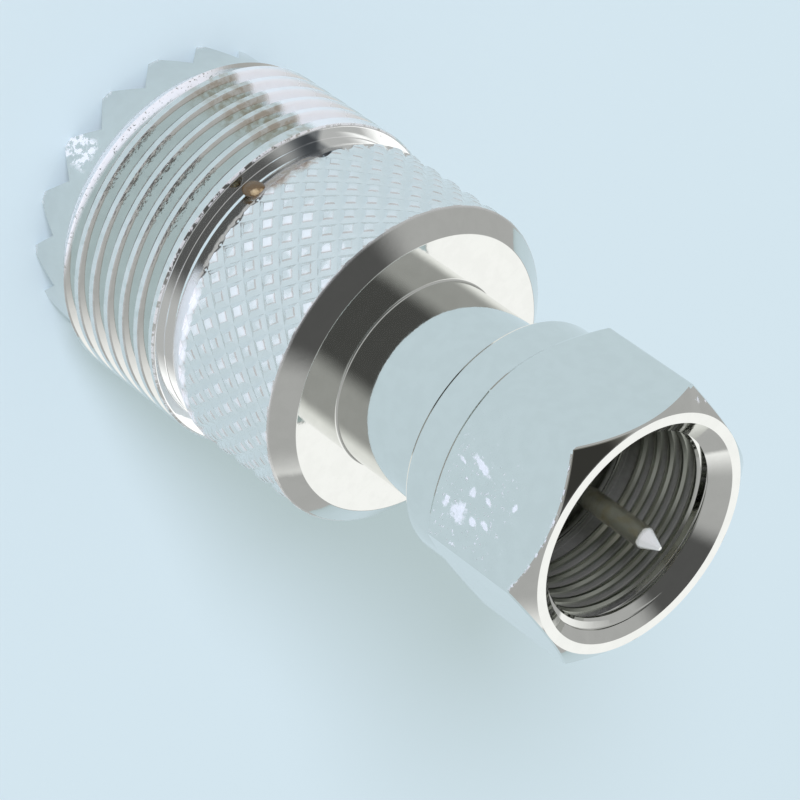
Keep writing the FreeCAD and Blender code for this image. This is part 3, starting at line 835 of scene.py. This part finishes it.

# coupling nut: the same plating, one flat scuffed down to white, dull and dark in its threads, where the bore is
# darkened with painted shade, and its front chamfer darkened with a painted dark reflection.
# Each scuff is a place along the flat, a height, two half widths and a lean.
scuffs = {
    "blot": (1.77, 26.97, 0.42, 0.4, 0.0), "streak": (-0.45, 27.13, 0.16, 0.62, 0.35),
    "fleck": (0.71, 27.21, 0.15, 0.2, 0.2), "dot": (1.66, 26.16, 0.2, 0.14, 0.0),
    "nick": (0.65, 28.15, 0.12, 0.2, 0.3), "mark": (1.75, 27.83, 0.14, 0.22, 0.3),
    "spot": (0.19, 29.46, 0.14, 0.12, 0.0), "smear": (1.58, 28.46, 0.12, 0.2, 0.4),
    "touch": (-0.2, 26.1, 0.1, 0.2, 0.3),
}
nutWear = {
    "flat": (25.3, 31.7, 0.1), "flatOut": (5.66, 5.69), "scuffed": (25.4, 29.4, 0.8), "fleckedTo": (-2.2, 0.2),
    "chips": (30.7, 31.4, 0.1), "chipSide": (-165, -147, 2), "chipRadius": (5.9, 6.1),
    "inside": (25.9, 30.3, 0.15), "insideRadius": (5.16, 5.1), "dirtRadius": (4.48, 4.7),
    "frontCone": 36.2, "coneSlope": 0.811, "edgeGap": (0.2, 0.06),
    "chamferDarkSide": (-112, -72, 4), "chamferDarkGap": (0.03, 0.015), "chamferDarkRadius": (5.66, 5.7),
}
nutPlate, tree, shader = material("nutPlate")
spot, lines, angle, height, radius = around(tree)
wave, speck, coarse = grains(tree, spot)

# the scuffed flat looks towards minus 60 degrees
outwards, along = [
    figure(tree, "DIVIDE", place(tree, "ShaderNodeVectorMath", {0: spot, 1: direction},
                                 operation="DOT_PRODUCT").outputs["Value"], millimetre)
    for direction in ((0.5, -0.8660254, 0), (0.8660254, 0.5, 0))]
onFlat = times(tree, ramp(tree, outwards, *nutWear["flatOut"]), masked(tree, height, *nutWear["flat"]))
ragged = times(tree, minus(tree, coarse, 0.5), 2.6)
marks = most(tree, *[
    useGroup(tree, chip, Across=along, Up=height, Centre_across=across, Centre_up=up, Half_across=halfAcross,
             Half_up=halfUp, Lean=lean, Ragged=ragged)["Mask"]
    for across, up, halfAcross, halfUp, lean in scuffs.values()])
flecks = times(tree, ramp(tree, noise(tree, spot, 5200, 2, 0.7), 0.61, 0.7, 0, 0.9),
               masked(tree, height, *nutWear["scuffed"]), ramp(tree, along, *nutWear["fleckedTo"]))
scuffed = times(tree, onFlat, most(tree, marks, flecks), ramp(tree, speck, 0.35, 0.6, 0.7, 0.95))

# how far a place lies behind the cone of the front chamfer
frontGap = minus(tree, nutWear["frontCone"], times(tree, radius, nutWear["coneSlope"]), height)
flatEdges = times(tree, onFlat, ramp(tree, frontGap, *nutWear["edgeGap"]), ramp(tree, coarse, 0.5, 0.6), 0.8)
cornerChips = times(tree, masked(tree, angle, *nutWear["chipSide"]), masked(tree, height, *nutWear["chips"]),
                    ramp(tree, radius, *nutWear["chipRadius"]), ramp(tree, coarse, 0.6, 0.66), 0.8)
paleMarks = most(tree, scuffed, flatEdges, cornerChips)
# painted shade: the bore of the nut is darkened to the shaded colour
inside = times(tree, ramp(tree, radius, *nutWear["insideRadius"]), masked(tree, height, *nutWear["inside"]))
# painted reflection: the front chamfer between -112 and -72 degrees is darkened
chamferDarkReflection = times(tree, masked(tree, angle, *nutWear["chamferDarkSide"]), ramp(tree, frontGap, *nutWear["chamferDarkGap"]),
                ramp(tree, radius, *nutWear["chamferDarkRadius"]))
plate = blend(tree, ramp(tree, wave, 0.35, 0.65), plating["colour"], plating["second"])
plate = blend(tree, inside, plate, plating["shaded"])
plate = blend(tree, chamferDarkReflection, plate, plating["chamferReflectedDark"])
haze = times(tree, onFlat, ramp(tree, coarse, 0.3, 0.7, 0.02, 0.14))
threadDirt = times(tree, inside, ramp(tree, radius, *nutWear["dirtRadius"]), ramp(tree, coarse, 0.3, 0.7, 0.4, 0.6))
platedSurface(tree, shader, coarse, lines, wave, plate, plus(tree, times(tree, inside, 0.24), haze),
              times(tree, paleMarks, 0.03), Rubbed=paleMarks, Rubbed_colour=plating["scuffed"], Dirt=threadDirt,
              Dirt_colour=plating["oily"])
dress(nutPlate, couplingNut)

# contact and pin: bright plating over brass, drawn lines along it, a trace of the warm metal below, a pale tip
pinLook = {
    "bright": (0.82, 0.81, 0.77, 1), "warm": (0.78, 0.7, 0.54, 1), "tip": (0.84, 0.86, 0.84, 1),
    "tipFrom": (31.8, 31.95), "dullFrom": (31.9, 32.05),
}
contactPlate, tree, shader = material("contactPlate")
spot, lines, angle, height, *others = around(tree)
lengthwise = place(tree, "ShaderNodeCombineXYZ", {"X": angle, "Y": times(tree, height, 0.6)}).outputs[0]
drawn = noise(tree, lengthwise, 1.4, 3)
warm = blend(tree, ramp(tree, noise(tree, spot, 1800, 3), 0.4, 0.75), pinLook["bright"], pinLook["warm"])
fill(tree, shader, {
    "Base Color": blend(tree, ramp(tree, height, *pinLook["tipFrom"]), warm, pinLook["tip"]),
    "Metallic": ramp(tree, height, *pinLook["dullFrom"], 1, 0.6), "Roughness": ramp(tree, drawn, 0.3, 0.7, 0.12, 0.24),
    "Normal": bumped(tree, plus(tree, times(tree, drawn, 0.004), times(tree, noise(tree, lines, 7), 0.004)))})
dress(contactPlate, contact, centrePin)

# retaining ring: darker spring steel, rolled along its length
ringLook = {"bright": (0.42, 0.42, 0.43, 1), "blued": (0.33, 0.3, 0.28, 1)}
springSteel, tree, shader = material("springSteel")
spot, lines, *others = around(tree)
rolled = noise(tree, lines, 18, 3)
fill(tree, shader, {
    "Base Color": blend(tree, ramp(tree, noise(tree, spot, 900), 0.35, 0.7), ringLook["bright"], ringLook["blued"]),
    "Metallic": 1, "Roughness": ramp(tree, rolled, 0.3, 0.7, 0.22, 0.4),
    "Normal": bumped(tree, times(tree, rolled, 0.01))})
dress(springSteel, retainingRing)

# insulators: white fluoropolymer, waxy, with turning rings and a little grey in them
waxLook = {"white": (0.86, 0.86, 0.82, 1), "clouded": (0.8, 0.8, 0.77, 1), "grey": (0.66, 0.66, 0.62, 1)}
white, tree, shader = material("whitePlastic")
spot, lines, *others = around(tree)
rings = noise(tree, lines, 6, 3)
cloud = noise(tree, spot, 700, 3)
waxy = blend(tree, ramp(tree, cloud, 0.3, 0.7), waxLook["white"], waxLook["clouded"])
fill(tree, shader, {
    "Base Color": blend(tree, ramp(tree, rings, 0.55, 0.8, 0, 0.5), waxy, waxLook["grey"]),
    "Roughness": ramp(tree, cloud, 0.3, 0.7, 0.38, 0.5), "Subsurface Weight": 0.15, "Subsurface Radius": (1, 0.9, 0.8),
    "Subsurface Scale": 0.4 * millimetre, "Normal": bumped(tree, times(tree, rings, 0.012))})
dress(white, jackInsulator, frontInsulator)

# dried flux: amber and bright through its middle, darkened with painted shade where it is seen edge on
fluxLook = {"amber": (0.6, 0.47, 0.27, 1), "dark": (0.1, 0.055, 0.016, 1)}
flux, tree, shader = material("driedFlux")
edgeOn = place(tree, "ShaderNodeLayerWeight", {"Blend": 0.3}).outputs["Facing"]
cloudy = noise(tree, place(tree, "ShaderNodeTexCoord").outputs["Object"], 6000, 3)
# painted shade: the more edge on the bead is seen, the darker its colour
depth = plus(tree, edgeOn, times(tree, cloudy, 0.25))
fill(tree, shader, {
    "Base Color": blend(tree, ramp(tree, depth, 0.08, 0.22), fluxLook["amber"], fluxLook["dark"]),
    "Roughness": ramp(tree, cloudy, 0.3, 0.7, 0.12, 0.3), "Coat Weight": 0.6, "Coat Roughness": 0.08,
    "Normal": bumped(tree, times(tree, cloudy, 0.03))})
dress(flux, fluxBead)
